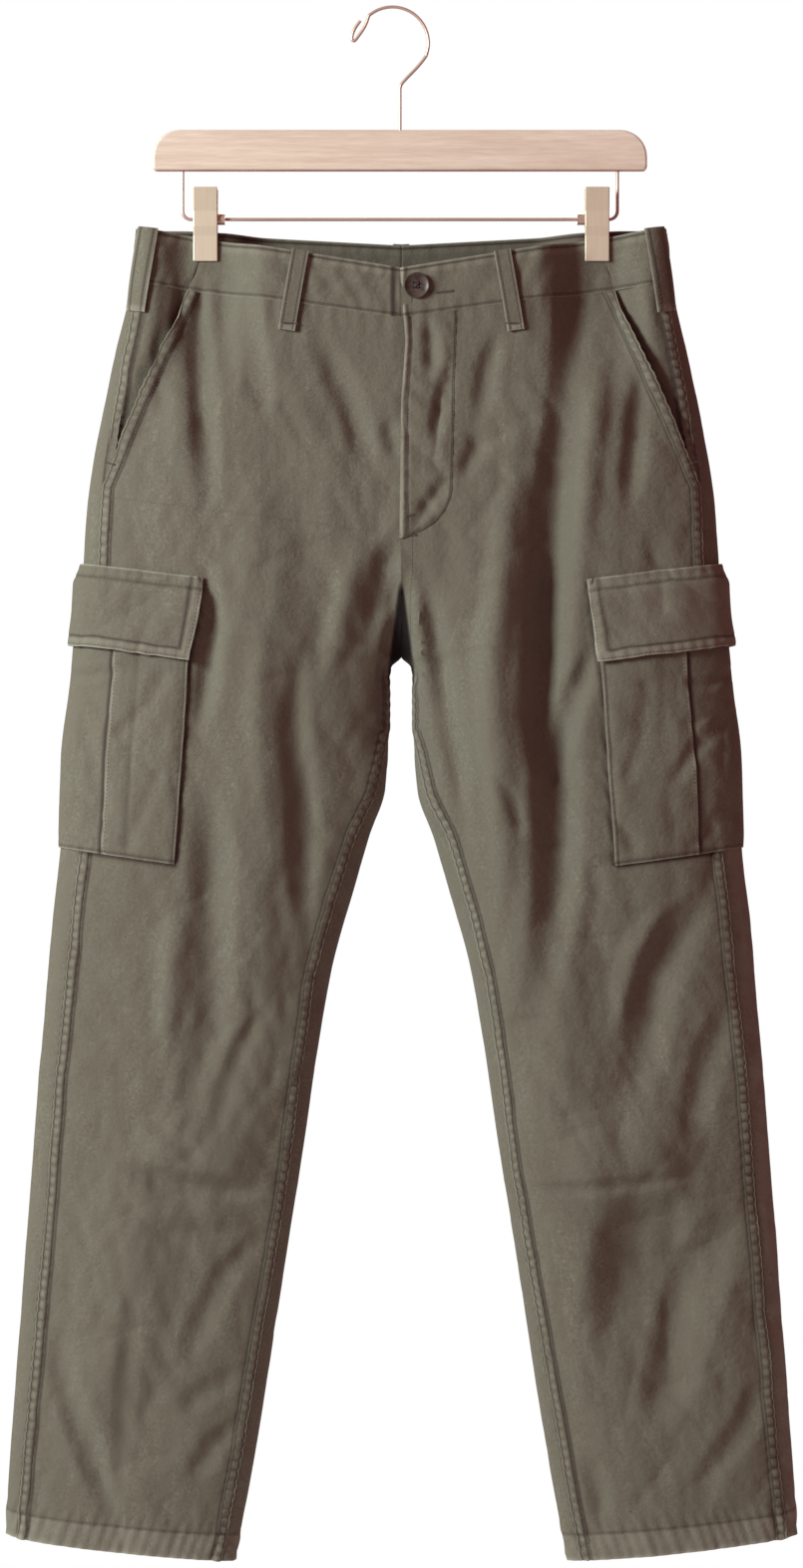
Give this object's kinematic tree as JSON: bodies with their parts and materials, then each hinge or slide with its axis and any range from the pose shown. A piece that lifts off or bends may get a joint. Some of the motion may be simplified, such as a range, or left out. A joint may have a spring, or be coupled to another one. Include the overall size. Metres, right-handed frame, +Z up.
{
  "type": "cargo pants on clip hanger",
  "caption": "Slim cargo trousers in olive cotton twill with slant pockets, flapped cargo pockets, belt loops and a buttoned fly, hung from a wooden hanger with sprung clips.",
  "frame": {"origin": "inner top of the hanger's hook, where a rail carries it", "axes": "+Z up, the front of the trousers faces -Y, +X towards the wearer's left leg"},
  "size_m": [0.62, 0.0821, 1.2156],
  "materials": {
    "cotton_twill": "washed olive-drab cotton twill, matt",
    "dark_horn": "dark brown four-hole button, satin",
    "pale_maple": "pale lacquered maple",
    "rose_wire": "rose-gold plated steel wire, polished",
    "satin_clip": "champagne-gold plated clip, satin"
  },
  "bodies": {
    "root": {"front_left": "cotton_twill", "front_right": "cotton_twill", "back_left": "cotton_twill", "back_right": "cotton_twill", "waistband_front_left": "cotton_twill", "waistband_front_right": "cotton_twill", "waistband_back_left": "cotton_twill", "waistband_back_right": "cotton_twill", "belt_loop_back": "cotton_twill", "belt_loop_front_left": "cotton_twill", "belt_loop_front_right": "cotton_twill", "belt_loop_side_left": "cotton_twill", "belt_loop_side_right": "cotton_twill", "cargo_pocket_left": "cotton_twill", "cargo_pocket_right": "cotton_twill", "fly_placket": "cotton_twill", "pocket_facing_left": "cotton_twill", "pocket_facing_right": "cotton_twill", "cargo_flap_left": "cotton_twill", "cargo_flap_right": "cotton_twill", "waist_button": "dark_horn", "hanger_bar": "pale_maple", "hanger_hook": "rose_wire", "hanger_frame": "rose_wire", "clip_spring_left": "rose_wire", "clip_spring_right": "rose_wire", "clip_front_left": "satin_clip", "clip_front_right": "satin_clip", "clip_back_left": "satin_clip", "clip_back_right": "satin_clip"}
  },
  "joints": []
}
